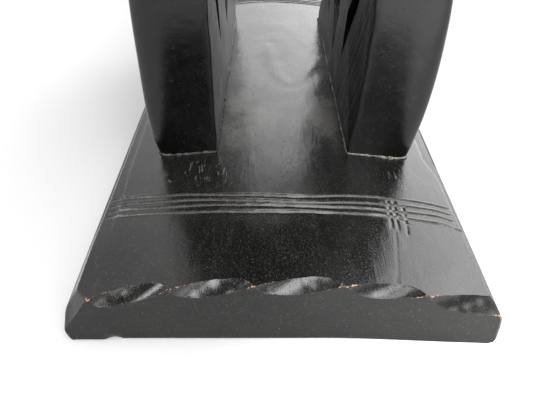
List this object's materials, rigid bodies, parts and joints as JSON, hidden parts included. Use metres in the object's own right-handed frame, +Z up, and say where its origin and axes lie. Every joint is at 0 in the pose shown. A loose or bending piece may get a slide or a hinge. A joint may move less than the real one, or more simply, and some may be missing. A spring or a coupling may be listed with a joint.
{
  "type": "carved wooden headrest",
  "caption": "Black-stained carved wooden headrest: a cambered base board, two barrel-stave uprights with pierced slots, and a saddle-shaped neck rest.",
  "frame": {"origin": "middle of the base board's flat underside, on the surface it stands on", "axes": "+Z up, +Y along the length of the board and the uprights, +X across the board to the right"},
  "size_m": [0.13, 0.333, 0.1826],
  "materials": {
    "base_wood": "black stain, polished, worn brown on the carved arrises",
    "left_upright_wood": "black stain, polished, with tool marks inside",
    "right_upright_wood": "black stain, polished, with tool marks inside",
    "neck_rest_wood": "black stain, polished by use",
    "peg_wood": "bare hardwood",
    "glue_bead": "dried glue with dust, stained over"
  },
  "bodies": {
    "root": {"base": "base_wood", "left_upright": "left_upright_wood", "right_upright": "right_upright_wood", "neck_rest": "neck_rest_wood", "left_base_pegs": "peg_wood", "right_base_pegs": "peg_wood", "left_top_pegs": "peg_wood", "right_top_pegs": "peg_wood", "left_lower_bead": "glue_bead", "right_lower_bead": "glue_bead", "left_upper_bead": "glue_bead", "right_upper_bead": "glue_bead"}
  },
  "joints": []
}
